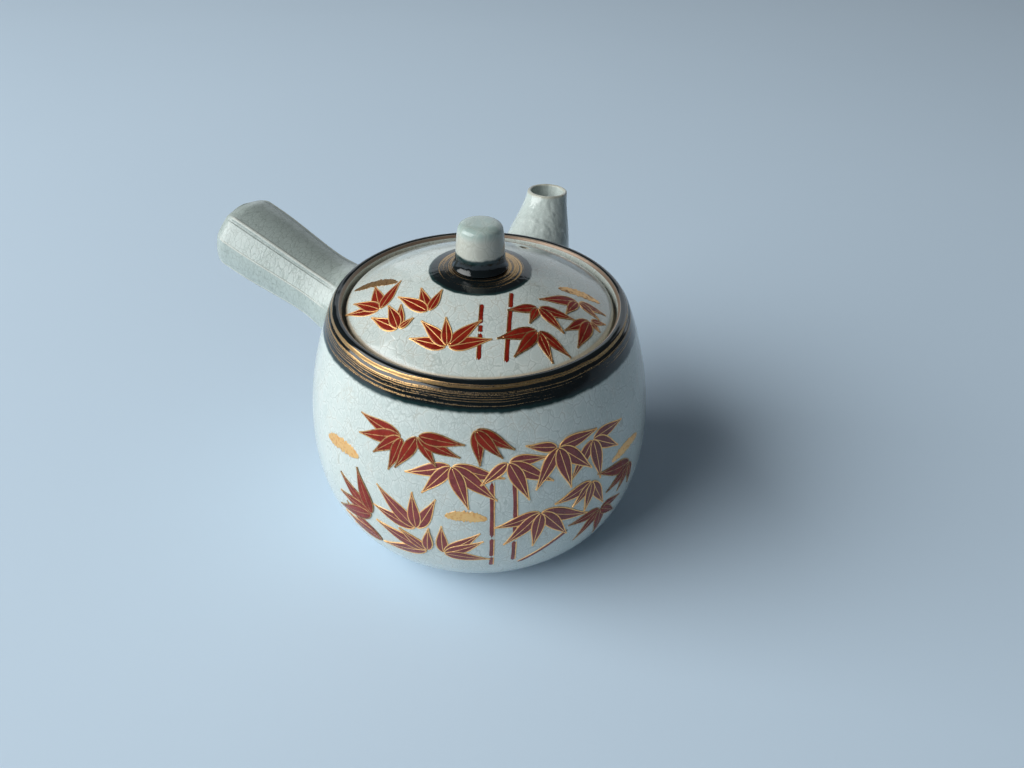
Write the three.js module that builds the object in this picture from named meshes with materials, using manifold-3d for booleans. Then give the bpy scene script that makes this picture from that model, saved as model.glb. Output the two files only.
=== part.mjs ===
// A side-handle teapot: a wheel-thrown stoneware pot with an inset lid seat, a faceted hollow handle and a short
// spout luted on at right angles to each other, a pierced strainer dome behind the spout, and a lift-off lid with
// its knob. Millimetres, +Z up, the foot ring stands on z = 0.
import * as THREE from "three";
import { mergeVertices } from "three/addons/utils/BufferGeometryUtils.js";
import Module from "manifold-3d";

const wasm = await Module();
wasm.setup();

// Overall sizes.
const BODY_R = 52.5; // widest radius of the belly
const POT_H = 76.9; // table to the top of the lip

// Thrown body.
const BELLY_Z = 34.5; // height of the widest point
const LIP_IN = 9.7; // how far the lip lies inside the belly
const FOOT_IN = 18.5; // how far the foot ring lies inside the belly
const LIP_R = BODY_R - LIP_IN; // outside of the lip
const FOOT_R = BODY_R - FOOT_IN; // outside of the foot ring
const FOOT_H = 3.0;
const FOOT_W = 4.0; // width of the ring that stands on the table
const RECESS = 2.4; // depth of the hollow inside the foot ring
const WALL = 3.5;
const BELLY_POWER = 2.17; // lower curve, 2 would be an ellipse
const SHOULDER_POWER = 1.955; // upper curve, 2 would be a parabola
const SEAM = 0.3; // slip joint left open between two luted pieces

// Lid seat in the mouth.
const LIP_W = 2.8; // thickness of the lip
const SEAT_DEPTH = 4.6; // lip down to the ledge the lid rests on
const LEDGE_W = 4.4; // width of that ledge
const LEDGE_T = 3.4; // thickness of the ledge at its inner edge
const SEAT_R = LIP_R - LIP_W;
const THROAT_R = SEAT_R - LEDGE_W;
const LEDGE_Z = POT_H - SEAT_DEPTH;

// Lid.
const LID_SLACK = 1.0; // play between the lid's edge and the lip
const LID_R = SEAT_R - LID_SLACK;
const LID_EDGE_T = 2.6; // thickness of the rim at the edge
const DOME_RISE = 12.1; // lid edge up to the crown
const LID_T = 3.2; // thickness of the dome
const COLLAR_SLACK = 0.8; // play between the locating collar and the throat
const COLLAR_R = THROAT_R - COLLAR_SLACK;
const COLLAR_T = 2.8;
const COLLAR_H = 6.4; // how far the collar hangs below the ledge
const LID_EDGE_Z = LEDGE_Z + SEAM + LID_EDGE_T;
const VENT_R = 1.45;
const VENT_AT = 22.8; // steam hole's distance from the middle of the lid
const VENT_TURN = 56.7; // its bearing, degrees

// Knob.
const KNOB_R = 6.8;
const KNOB_FOOT_R = 8.3; // where the neck spreads onto the lid
const KNOB_H = 13.0; // crown of the lid to the top of the knob

// Spout.
const SPOUT_TURN = 73; // bearing of the spout, degrees
const SPOUT_ROOT_RISE = 28; // slope of its axis inside the wall, degrees
const SPOUT_MOUTH_RISE = 68; // slope of its axis at the mouth, degrees
const SPOUT_ROOT_DROP = 24.9; // start of the axis below the lip
const SPOUT_ROOT_IN = 10.5; // start of the axis inside the belly's radius
const SPOUT_OUT = 18.1; // mouth's centre beyond the belly
const SPOUT_UP = 4.5; // mouth's centre above the lip
const SPOUT_CUT = 18; // how far the mouth is cut towards level, degrees
const SPOUT_MOUTH_R = 6.9;
const SPOUT_ROOT_R = 12.6;
const SPOUT_BORE_R = 5.7;

// Handle.
const HANDLE_TURN = 152; // bearing of the handle, degrees
const HANDLE_RISE = 19; // slope of its axis, degrees
const HANDLE_DROP = 16.8; // axis below the lip, where it passes the belly's radius
const HANDLE_OUT = 44.5; // belly to the open end, along the axis
const HANDLE_R = 13.2; // widest radius, near the open end
const HANDLE_NECK_R = 11.5;
const HANDLE_WALL = 3.4;
const FACETS = [15.5, 53.5, 126.5, 164.5, 205, 250, 290, 335]; // knife-cut edges round the handle, degrees

// Strainer dome.
const DOME_R = 16;
const DOME_T = 2.0;
const DOME_BACK = 6; // dome's centre behind the inside of the wall
const DOME_RINGS = 3; // rings of pierced holes round the middle one
const PIERCE_R = 0.95;
const SPOUT_PIERCE_R = 8.8; // hole in the wall behind the spout

const AROUND = 64; // segments round the thrown pieces

const rad = (deg) => (deg * Math.PI) / 180;
const lerp = (a, b, t) => a + (b - a) * t;
const smooth = (t) => t * t * (3 - 2 * t);
const clamp01 = (t) => Math.min(1, Math.max(0, t));

// Outside radius of the thrown body at height z.
function bodyRadius(z) {
  if (z < BELLY_Z) {
    const t = (BELLY_Z - z) / (BELLY_Z - FOOT_H);
    const curve = Math.max(0, 1 - Math.pow(Math.min(1, t), BELLY_POWER));
    return FOOT_R + (BODY_R - FOOT_R) * Math.pow(curve, 1 / BELLY_POWER);
  }
  const t = (z - BELLY_Z) / (POT_H - BELLY_Z);
  return BODY_R - (BODY_R - LIP_R) * Math.pow(t, SHOULDER_POWER);
}

// Height of the lid's upper face at radius r.
function lidHeight(r) {
  return LID_EDGE_Z + DOME_RISE * (1 - (r / LID_R) * (r / LID_R));
}

// Revolves a closed profile of [radius, height] pairs about Z.
function turned(profile, around = AROUND) {
  const points = profile.map(([r, z]) => new THREE.Vector2(Math.max(r, 0), z));
  const geometry = new THREE.LatheGeometry(points, around);
  geometry.rotateX(Math.PI / 2);
  return geometry;
}

// Points of the body's outer curve from the foot to the lip, moved outwards by extra.
function bellyCurve(extra, count) {
  const curve = [];
  for (let i = 1; i <= count; i++) {
    const a = (i / count) * (Math.PI / 2);
    const z = FOOT_H + (BELLY_Z - FOOT_H) * (1 - Math.cos(a));
    curve.push([bodyRadius(z) + extra, z]);
  }
  const top = POT_H - 2.2;
  for (let i = 1; i <= count; i++) {
    const z = lerp(BELLY_Z, top, i / count);
    curve.push([bodyRadius(z) + extra, z]);
  }
  return curve;
}

// Points of the body's inside from under the ledge down to the floor, moved inwards by extra.
function insideCurve(extra, count) {
  const curve = [];
  const top = LEDGE_Z - LEDGE_T - 4.5;
  const floor = RECESS + WALL;
  const low = floor + 4.5;
  for (let i = 0; i <= count; i++) {
    const z = lerp(top, low, i / count);
    curve.push([bodyRadius(z) - WALL - extra, z]);
  }
  const lastR = bodyRadius(low) - WALL - extra;
  curve.push([lastR - 2.6, floor + 2.0 + extra]);
  curve.push([lastR - 7.5, floor + 0.4 + extra]);
  curve.push([lastR - 13, floor + extra]);
  return curve;
}

function toSolid(geometry) {
  const bare = geometry.clone();
  bare.deleteAttribute("normal");
  bare.deleteAttribute("uv");
  const merged = mergeVertices(bare, 1e-4);
  return new wasm.Manifold(
    new wasm.Mesh({
      numProp: 3,
      vertProperties: new Float32Array(merged.attributes.position.array),
      triVerts: new Uint32Array(merged.index.array),
    }),
  );
}

function fromSolid(solid) {
  const mesh = solid.getMesh();
  const geometry = new THREE.BufferGeometry();
  geometry.setAttribute("position", new THREE.BufferAttribute(mesh.vertProperties, 3));
  geometry.setIndex(new THREE.BufferAttribute(mesh.triVerts, 1));
  geometry.computeVertexNormals();
  return geometry;
}

// Skins a list of equal rings, each an array of Vector3. With close the last ring joins the first.
function skinned(rings, close) {
  const position = [];
  const index = [];
  const n = rings[0].length;
  rings.forEach((ring) => ring.forEach((p) => position.push(p.x, p.y, p.z)));
  const spans = close ? rings.length : rings.length - 1;
  for (let i = 0; i < spans; i++) {
    for (let k = 0; k < n; k++) {
      const a = i * n + k;
      const b = i * n + ((k + 1) % n);
      const c = ((i + 1) % rings.length) * n + ((k + 1) % n);
      const d = ((i + 1) % rings.length) * n + k;
      index.push(a, b, c, a, c, d);
    }
  }
  if (!close) {
    for (let k = 1; k < n - 1; k++) {
      const base = (rings.length - 1) * n;
      index.push(0, k + 1, k);
      index.push(base, base + k, base + k + 1);
    }
  }
  const geometry = new THREE.BufferGeometry();
  geometry.setAttribute("position", new THREE.Float32BufferAttribute(position, 3));
  geometry.setIndex(index);
  return geometry;
}

// Axis frame of a luted piece: start point, direction, sideways and upwards unit vectors.
function limbFrame(turn, rise, radius, height) {
  const a = rad(turn);
  const e = rad(rise);
  const along = new THREE.Vector3(Math.cos(e) * Math.cos(a), Math.cos(e) * Math.sin(a), Math.sin(e));
  const side = new THREE.Vector3(-Math.sin(a), Math.cos(a), 0);
  const up = new THREE.Vector3().crossVectors(along, side);
  const start = new THREE.Vector3(radius * Math.cos(a), radius * Math.sin(a), height);
  return { start, along, side, up };
}

function framePoint(frame, s, x, y) {
  return frame.start
    .clone()
    .addScaledVector(frame.along, s)
    .addScaledVector(frame.side, x)
    .addScaledVector(frame.up, y);
}

// Foot ring, belly and lip outside; lid seat, wall and floor inside.
function bodyProfile() {
  const profile = [[0, RECESS]];
  profile.push([FOOT_R - FOOT_W - 1.2, RECESS]);
  profile.push([FOOT_R - FOOT_W, RECESS - 1.0]);
  profile.push([FOOT_R - FOOT_W + 0.3, 0]);
  profile.push([FOOT_R - 0.5, 0]);
  profile.push([FOOT_R, 0.6]);
  profile.push([FOOT_R, FOOT_H]);
  profile.push(...bellyCurve(0, 11));
  profile.push([LIP_R + 0.25, POT_H - 1.5]);
  profile.push([LIP_R, POT_H - 0.7]);
  profile.push([LIP_R - 0.6, POT_H - 0.15]);
  profile.push([LIP_R - 1.3, POT_H]);
  profile.push([LIP_R - 2.2, POT_H - 0.25]);
  profile.push([SEAT_R, POT_H - 1.1]);
  profile.push([SEAT_R, LEDGE_Z]);
  profile.push([THROAT_R + 0.4, LEDGE_Z]);
  profile.push([THROAT_R, LEDGE_Z - 0.4]);
  profile.push([THROAT_R, LEDGE_Z - LEDGE_T]);
  profile.push(...insideCurve(0, 8));
  profile.push([0, RECESS + WALL]);
  return profile;
}

function bodyCutter() {
  const profile = [[0, 0.5]];
  profile.push([FOOT_R + SEAM, 0.5]);
  profile.push([FOOT_R + SEAM, FOOT_H]);
  profile.push(...bellyCurve(SEAM, 11));
  profile.push([LIP_R + SEAM, POT_H]);
  profile.push([0, POT_H]);
  return toSolid(turned(profile));
}

function insideSolid() {
  const curve = insideCurve(SEAM, 8).reverse();
  const profile = [[0, RECESS + WALL + SEAM]];
  profile.push(...curve);
  profile.push([0, curve[curve.length - 1][1]]);
  return toSolid(turned(profile));
}

// The spout's axis, a curve of two slopes in the upright plane of its bearing, from t = 0 inside the wall to
// t = 1 at the middle of the mouth.
function spoutAxis() {
  const root = new THREE.Vector2(BODY_R - SPOUT_ROOT_IN, POT_H - SPOUT_ROOT_DROP);
  const mouth = new THREE.Vector2(BODY_R + SPOUT_OUT, POT_H + SPOUT_UP);
  const a = Math.tan(rad(SPOUT_ROOT_RISE));
  const b = Math.tan(rad(SPOUT_MOUTH_RISE));
  const bendX = (mouth.y - root.y - b * mouth.x + a * root.x) / (a - b);
  const bend = new THREE.Vector2(bendX, root.y + a * (bendX - root.x));
  return new THREE.QuadraticBezierCurve(root, bend, mouth);
}

const spoutCurve = spoutAxis();

function spoutFrame(t) {
  const at = spoutCurve.getPoint(t);
  const slope = spoutCurve.getTangent(t);
  const rise = (Math.atan2(slope.y, slope.x) * 180) / Math.PI;
  return limbFrame(SPOUT_TURN, rise, at.x, at.y);
}

// Narrow and almost straight below the mouth, then spreading to the root in one soft curve.
function spoutRadius(t) {
  return lerp(SPOUT_MOUTH_R, SPOUT_ROOT_R, smooth(clamp01((1 - t) / 0.7)));
}

function spoutBore(t) {
  return lerp(SPOUT_BORE_R, SPOUT_PIERCE_R, clamp01((1 - t) / 0.6));
}

// One ring across the spout, shifted along the axis by lift and leaning over as it nears the mouth.
function spoutRing(t, radius, lift, count) {
  const frame = spoutFrame(t);
  const lean = smooth(clamp01((t - 0.55) / 0.45)) * Math.tan(rad(SPOUT_CUT));
  const ring = [];
  for (let k = 0; k < count; k++) {
    const a = (2 * Math.PI * k) / count;
    const y = radius * Math.sin(a);
    ring.push(framePoint(frame, lift - lean * y, radius * Math.cos(a), y));
  }
  return ring;
}

function spoutTube() {
  const count = 32;
  const rings = [];
  const steps = 11;
  for (let i = 0; i <= steps; i++) {
    const t = (i / steps) * 0.98;
    rings.push(spoutRing(t, spoutRadius(t), 0, count));
  }
  rings.push(spoutRing(1, SPOUT_MOUTH_R - 0.15, -0.2, count));
  rings.push(spoutRing(1, (SPOUT_MOUTH_R + SPOUT_BORE_R) / 2, 0, count));
  rings.push(spoutRing(1, SPOUT_BORE_R + 0.1, -0.2, count));
  for (let i = steps - 2; i >= 0; i--) {
    const t = (i / (steps - 2)) * 0.97;
    rings.push(spoutRing(t, spoutBore(t), 0, count));
  }
  return toSolid(skinned(rings, true));
}

// The hole in the wall: the spout's bore carried through into the pot.
function spoutPierce() {
  const root = spoutFrame(0);
  const rings = [];
  for (const s of [-7, 0]) {
    const ring = [];
    for (let k = 0; k < 32; k++) {
      const a = (2 * Math.PI * k) / 32;
      ring.push(framePoint(root, s, SPOUT_PIERCE_R * Math.cos(a), SPOUT_PIERCE_R * Math.sin(a)));
    }
    rings.push(ring);
  }
  for (const t of [0.1, 0.2, 0.3, 0.4, 0.5]) {
    rings.push(spoutRing(t, SPOUT_PIERCE_R, 0, 32));
  }
  return toSolid(skinned(rings, false));
}

const handleStart = limbFrame(HANDLE_TURN, HANDLE_RISE, BODY_R, POT_H - HANDLE_DROP);

// Facetted outline of the handle: radius at bearing a for a corner radius of 1.
function facetRadius(deg) {
  const n = FACETS.length;
  let k = 0;
  for (let i = 0; i < n; i++) {
    const span = (FACETS[(i + 1) % n] - FACETS[i] + 360) % 360;
    const into = (deg - FACETS[i] + 720) % 360;
    if (into < span) k = i;
  }
  const span = (FACETS[(k + 1) % n] - FACETS[k] + 360) % 360;
  const into = (deg - FACETS[k] + 720) % 360;
  const flat = Math.cos(rad(span / 2)) / Math.cos(rad(into - span / 2));
  return lerp(1, flat, 0.6);
}

function handleRadius(s) {
  const swell = smooth(clamp01((s - 6) / 30));
  const root = Math.pow(clamp01((10 - s) / 12), 2);
  return lerp(HANDLE_NECK_R, HANDLE_R, swell) + 2.0 * root;
}

function handleRing(s, radius, faceted) {
  const ring = [];
  const corners = FACETS.length;
  for (let k = 0; k < corners; k++) {
    const span = (FACETS[(k + 1) % corners] - FACETS[k] + 360) % 360;
    for (let j = 0; j < 4; j++) {
      const deg = FACETS[k] + (span * j) / 4;
      const r = radius * (faceted ? facetRadius(deg) : 0.97);
      ring.push(framePoint(handleStart, s, r * Math.cos(rad(deg)), r * Math.sin(rad(deg))));
    }
  }
  return ring;
}

function handleTube() {
  const rings = [];
  const end = HANDLE_OUT;
  for (const s of [-16, -8, -3, 0, 3, 7, 14, 22, 29, 34, end - 6]) {
    rings.push(handleRing(s, handleRadius(s), true));
  }
  const wide = handleRadius(end - 6);
  for (const [back, share] of [[3.6, 0.975], [1.7, 0.91], [0.5, 0.82], [0, 0.74]]) {
    rings.push(handleRing(end - back, wide * share, true));
  }
  const bore = wide - HANDLE_WALL;
  rings.push(handleRing(end - 0.6, bore * 0.97, false));
  for (const s of [end - 3, 29, 22, 14, 7, 0, -8, -16]) {
    const inner = Math.min(bore, handleRadius(Math.max(s, 7)) - HANDLE_WALL);
    rings.push(handleRing(s, inner * 0.93, false));
  }
  return toSolid(skinned(rings, true));
}

// Dome of the strainer: a shell round the axis through the hole behind the spout.
function strainerFrame() {
  const z = spoutCurve.getPoint(0.2).y;
  const rise = 10;
  const back = DOME_BACK * Math.cos(rad(rise));
  return limbFrame(SPOUT_TURN, rise, bodyRadius(z) - WALL + back, z + DOME_BACK * Math.sin(rad(rise)));
}

function strainerShell(frame) {
  const rings = [];
  const arcs = 6;
  for (const [radius, up] of [[DOME_R - DOME_T, true], [DOME_R, false]]) {
    for (let i = 0; i <= arcs; i++) {
      const t = up ? i / arcs : 1 - i / arcs;
      const a = lerp(85, 3, t);
      const ring = [];
      for (let k = 0; k < 24; k++) {
        const b = (2 * Math.PI * k) / 24;
        const r = radius * Math.sin(rad(a));
        ring.push(framePoint(frame, -radius * Math.cos(rad(a)), r * Math.cos(b), r * Math.sin(b)));
      }
      rings.push(ring);
    }
  }
  return toSolid(skinned(rings, true));
}

function pierceHole(frame, tilt, turn) {
  const out = DOME_R + 3;
  const dir = framePoint(frame, -Math.cos(tilt), Math.sin(tilt) * Math.cos(turn), Math.sin(tilt) * Math.sin(turn))
    .sub(frame.start)
    .normalize();
  const tool = new THREE.CylinderGeometry(PIERCE_R, PIERCE_R, 8, 6);
  tool.applyQuaternion(new THREE.Quaternion().setFromUnitVectors(new THREE.Vector3(0, 1, 0), dir));
  const at = frame.start.clone().addScaledVector(dir, out - 4);
  tool.translate(at.x, at.y, at.z);
  return toSolid(tool);
}

function strainerDome() {
  const frame = strainerFrame();
  let dome = strainerShell(frame).intersect(insideSolid());
  for (let ring = 1; ring <= DOME_RINGS; ring++) {
    const tilt = rad(12.5 * ring);
    const count = 6 * ring;
    for (let k = 0; k < count; k++) {
      dome = dome.subtract(pierceHole(frame, tilt, (2 * Math.PI * k) / count + 0.3 * ring));
    }
  }
  return dome;
}

// Dome, rim and locating collar of the lid.
function lidProfile() {
  const profile = [[0, lidHeight(0) - LID_T]];
  const inner = COLLAR_R - COLLAR_T;
  for (let i = 1; i <= 6; i++) {
    const r = (inner - 1.4) * (i / 6);
    profile.push([r, lidHeight(r) - LID_T]);
  }
  profile.push([inner, lidHeight(inner) - LID_T - 1.6]);
  profile.push([inner, LEDGE_Z - COLLAR_H + 0.7]);
  profile.push([inner + 0.7, LEDGE_Z - COLLAR_H]);
  profile.push([COLLAR_R - 0.8, LEDGE_Z - COLLAR_H]);
  profile.push([COLLAR_R, LEDGE_Z - COLLAR_H + 0.8]);
  profile.push([COLLAR_R, LEDGE_Z + SEAM]);
  profile.push([LID_R - 0.6, LEDGE_Z + SEAM]);
  profile.push([LID_R, LEDGE_Z + SEAM + 0.6]);
  profile.push([LID_R, LID_EDGE_Z - 0.9]);
  profile.push([LID_R - 0.3, LID_EDGE_Z - 0.1]);
  for (let i = 0; i <= 12; i++) {
    const r = (LID_R - 1.1) * (1 - i / 12);
    profile.push([r, lidHeight(r)]);
  }
  return profile;
}

function lidSolid() {
  const tool = new THREE.CylinderGeometry(VENT_R, VENT_R, 20, 16);
  tool.rotateX(Math.PI / 2);
  const a = rad(VENT_TURN);
  tool.translate(VENT_AT * Math.cos(a), VENT_AT * Math.sin(a), lidHeight(VENT_AT));
  return toSolid(turned(lidProfile())).subtract(toSolid(tool));
}

// The knob's underside follows the lid's crown, its neck spreads out at the bottom, its top is rounded over.
function knobProfile() {
  const crown = lidHeight(0);
  const top = crown + KNOB_H;
  const profile = [[0, crown + SEAM]];
  profile.push([KNOB_FOOT_R * 0.5, lidHeight(KNOB_FOOT_R * 0.5) + SEAM]);
  profile.push([KNOB_FOOT_R, lidHeight(KNOB_FOOT_R) + SEAM]);
  profile.push([KNOB_FOOT_R - 0.7, crown + 0.9]);
  profile.push([KNOB_R + 0.1, crown + 2.2]);
  profile.push([KNOB_R - 0.05, crown + 4]);
  profile.push([KNOB_R, top - 2.6]);
  profile.push([KNOB_R - 0.4, top - 1.2]);
  profile.push([KNOB_R - 1.5, top - 0.35]);
  profile.push([KNOB_R - 3.2, top - 0.05]);
  profile.push([0, top]);
  return profile;
}

function named(name, geometry, color, roughness) {
  const material = new THREE.MeshStandardMaterial({ color, roughness });
  const mesh = new THREE.Mesh(geometry, material);
  mesh.name = name;
  return mesh;
}

const pierce = spoutPierce();
const cutter = bodyCutter();
const body = toSolid(turned(bodyProfile())).subtract(pierce);
const spout = spoutTube().subtract(cutter);
const handle = handleTube().subtract(cutter);

const teapot = new THREE.Group();
teapot.name = "side_handle_teapot";
teapot.add(named("pot_body", fromSolid(body), 0xdfe6df, 0.25));
teapot.add(named("spout", fromSolid(spout), 0xd6ddd6, 0.25));
teapot.add(named("handle", fromSolid(handle), 0xccd4cc, 0.25));
teapot.add(named("tea_strainer", fromSolid(strainerDome()), 0xd8d8cc, 0.5));
teapot.add(named("lid", fromSolid(lidSolid()), 0xe2e9e2, 0.25));
teapot.add(named("lid_knob", turned(knobProfile(), 48), 0xc8d2cc, 0.25));

// The part's origin is the middle of its footprint, on the table.
const bounds = new THREE.Box3().setFromObject(teapot);
teapot.position.set(-(bounds.min.x + bounds.max.x) / 2, -(bounds.min.y + bounds.max.y) / 2, 0);

export default teapot;
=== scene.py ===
import math

import bpy
import numpy as np
from mathutils import Matrix, Vector


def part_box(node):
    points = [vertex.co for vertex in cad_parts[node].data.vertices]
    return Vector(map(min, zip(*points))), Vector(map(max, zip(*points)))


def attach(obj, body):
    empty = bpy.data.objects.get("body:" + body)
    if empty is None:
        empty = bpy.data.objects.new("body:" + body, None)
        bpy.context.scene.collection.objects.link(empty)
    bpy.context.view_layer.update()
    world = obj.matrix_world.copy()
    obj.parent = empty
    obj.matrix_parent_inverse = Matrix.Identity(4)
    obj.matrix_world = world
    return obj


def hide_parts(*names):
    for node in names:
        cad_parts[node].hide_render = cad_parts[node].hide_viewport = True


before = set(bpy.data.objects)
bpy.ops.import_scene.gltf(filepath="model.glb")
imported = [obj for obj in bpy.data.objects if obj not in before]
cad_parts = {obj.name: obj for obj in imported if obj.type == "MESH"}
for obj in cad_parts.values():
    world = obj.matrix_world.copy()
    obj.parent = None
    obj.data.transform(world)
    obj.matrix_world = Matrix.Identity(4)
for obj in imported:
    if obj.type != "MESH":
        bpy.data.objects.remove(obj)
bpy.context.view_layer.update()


# ---------------------------------------------------------------- Camera, light and table
# The pot is seen from in front and well above, on a pale matt table, by a large window on its left
# and the weak light that comes back from a pale room.

MM = 0.001
lid_low, lid_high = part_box("lid")
# The wheel's axis on the table, mm.
AXIS = np.array([(lid_low.x + lid_high.x) / 2, (lid_low.y + lid_high.y) / 2, 0.0]) / MM

EYE = np.array([9.9, -208.4, 199.7])  # from the wheel's axis on the table, mm
LOOK_DOWN = math.radians(36.54)
TILT = 0.027
up = Vector((0, math.sin(LOOK_DOWN), math.cos(LOOK_DOWN)))
ahead = Vector((0, math.cos(LOOK_DOWN), -math.sin(LOOK_DOWN)))
right = Vector((1, 0, 0))
across = math.cos(TILT) * right + math.sin(TILT) * up
upright = math.cos(TILT) * up - math.sin(TILT) * right
camera = bpy.data.objects.new("camera", bpy.data.cameras.new("camera"))
camera.data.lens = 29.0
camera.data.sensor_width = 36.0
camera.data.clip_start = 0.01
camera.matrix_world = Matrix.Translation(Vector((EYE + AXIS) * MM)) @ Matrix(
    (across, upright, -ahead)).transposed().to_4x4()
bpy.context.scene.collection.objects.link(camera)
bpy.context.scene.camera = camera


def set_inputs(node, inputs):
    """Gives each input of a node a socket to link from, or a value to hold."""
    for key, value in inputs.items():
        if isinstance(value, bpy.types.NodeSocket):
            node.id_data.links.new(value, node.inputs[key])
        else:
            node.inputs[key].default_value = value


def add_node(tree, kind, inputs=None, **settings):
    """One node with its settings and inputs."""
    made = tree.nodes.new(kind)
    for key, value in settings.items():
        setattr(made, key, value)
    set_inputs(made, inputs or {})
    return made


def follow(kind, inputs, **settings):
    """The outputs of a node added to the tree that its inputs come from."""
    tree = next(value.id_data for value in inputs.values() if isinstance(value, bpy.types.NodeSocket))
    return add_node(tree, kind, inputs, **settings).outputs


def noise(where, scale, detail, rough=0.5):
    """A noise from 0 to 1."""
    return follow("ShaderNodeTexNoise", {
        "Vector": where, "Scale": scale, "Detail": detail, "Roughness": rough})["Fac"]


def blended(share, a, b):
    """Colour a where share is 0, colour b where it is 1."""
    return follow("ShaderNodeMix", {"Factor": share, "A": a, "B": b}, data_type="RGBA")["Result"]


def new_material(name):
    """A material, its node tree and its Principled shader."""
    made = bpy.data.materials.new(name)
    made.use_nodes = True
    return made, made.node_tree, made.node_tree.nodes["Principled BSDF"]


def soft_light(name, size, watts, colour, place, target, spread=180):
    """A rectangle of light of size (width, height) in metres at place, facing target, both in mm from the pot's
    axis, spread over that many degrees."""
    lamp = bpy.data.lights.new(name, "AREA")
    lamp.shape = "RECTANGLE"
    lamp.size, lamp.size_y = size
    lamp.energy = watts
    lamp.color = colour
    lamp.spread = math.radians(spread)
    made = bpy.data.objects.new(name, lamp)
    start, end = Vector((np.array(place) + AXIS) * MM), Vector((np.array(target) + AXIS) * MM)
    turned_to = (end - start).to_track_quat("-Z", "Y").to_matrix().to_4x4()
    made.matrix_world = Matrix.Translation(start) @ turned_to
    bpy.context.scene.collection.objects.link(made)
    return made


soft_light("window", (2.3, 1.8), 32.5, (0.985, 1.0, 0.99), (-1600, -560, 1080), (0, -90, 40), 120)
pale_wall = soft_light("pale_wall", (3.0, 1.2), 10.0, (0.84, 0.93, 1.0), (500, 1700, 600), (0, 0, 40))
pale_wall.visible_diffuse = False  # it shows only where the glaze reflects it

world = bpy.data.worlds.new("room")
bpy.context.scene.world = world
world.use_nodes = True
set_inputs(world.node_tree.nodes["Background"], {"Color": (0.52, 0.58, 0.64, 1), "Strength": 0.13})
bpy.context.scene.view_settings.view_transform = "Standard"

TABLE = 3.0  # side of the table top, m
table = bpy.data.meshes.new("table")
steps = np.linspace(-TABLE / 2, TABLE / 2, 3)
gx, gy = np.meshgrid(steps, steps)
table.from_pydata(np.stack([gx, gy, 0 * gx], -1).reshape(-1, 3).tolist(), [],
                  [(a, a + 1, a + 4, a + 3) for a in (0, 1, 3, 4)])
table_top = bpy.data.objects.new("table", table)
bpy.context.scene.collection.objects.link(table_top)
paper, tree, shader = new_material("pale_table")
cloud = noise(add_node(tree, "ShaderNodeTexCoord").outputs["Object"], 3.0, 4.0)
set_inputs(shader, {"Base Color": blended(cloud, (0.58, 0.72, 0.86, 1), (0.62, 0.76, 0.90, 1)), "Roughness": 0.75})
table.materials.append(paper)


# ---------------------------------------------------------------- Pot body
# The thrown stoneware body: a foot ring, a full belly, a shoulder drawn in to the rim, and a ledge inside the rim
# that the lid drops onto. Pale crackled glaze, with a brushed black and gold band fired round the rim.

BODY_R = 52.4  # belly under the enamel, mm
POT_H = 76.9  # lip above the table
BELLY_Z = 34.5  # height of the widest place
LIP_R = 42.8
FOOT_R = 34.0
FOOT_H = 3.0
FOOT_W = 4.0
RECESS = 2.4
WALL = 3.5
SEAT_R = 40.0  # inside of the lip
THROAT_R = 35.6  # inside of the ledge
LEDGE_Z = 72.3
LEDGE_T = 3.4
BELLY_POWER = 2.17
SHOULDER_POWER = 1.955


def body_radius(z):
    """Outside radius at height z: a rounded quarter, (1 - t^p)^(1/p), from the foot to the belly, then a bow, t^q,
    in to the lip."""
    z = np.asarray(z, float)
    low = np.clip((BELLY_Z - z) / (BELLY_Z - FOOT_H), 0, 1)
    high = np.clip((z - BELLY_Z) / (POT_H - BELLY_Z), 0, 2)
    under = FOOT_R + (BODY_R - FOOT_R) * (1 - low ** BELLY_POWER) ** (1 / BELLY_POWER)
    return np.where(z < BELLY_Z, under, BODY_R - (BODY_R - LIP_R) * high ** SHOULDER_POWER)


def eased(profile, radius, steps=6):
    """A profile with softened corners: corner P becomes (1-t)²·A + 2t(1-t)·P + t²·B, where A and B lie radius,
    or at most 45% of a side, before and after P."""
    p = np.array(profile, float)
    into, out = p[1:-1] - p[:-2], p[2:] - p[1:-1]
    before = np.linalg.norm(into, axis=1, keepdims=True)
    after = np.linalg.norm(out, axis=1, keepdims=True)
    a = (p[1:-1] - into / before * np.minimum(radius, 0.45 * before))[:, None]
    b = (p[1:-1] + out / after * np.minimum(radius, 0.45 * after))[:, None]
    t = np.linspace(0, 1, steps)[None, :, None]
    curve = (1 - t) ** 2 * a + 2 * t * (1 - t) * p[1:-1][:, None] + t ** 2 * b
    return np.vstack([p[:1], curve.reshape(-1, 2), p[-1:]])


def turned(profile, around):
    """Rings of a thrown piece: point (r, z) of the profile turned round the axis, (r·cos a, r·sin a, z)."""
    a = np.arange(around) * 2 * np.pi / around
    r, z = profile[:, 0, None], profile[:, 1, None]
    return np.stack([r * np.cos(a), r * np.sin(a), z + 0 * a], -1)


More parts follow.
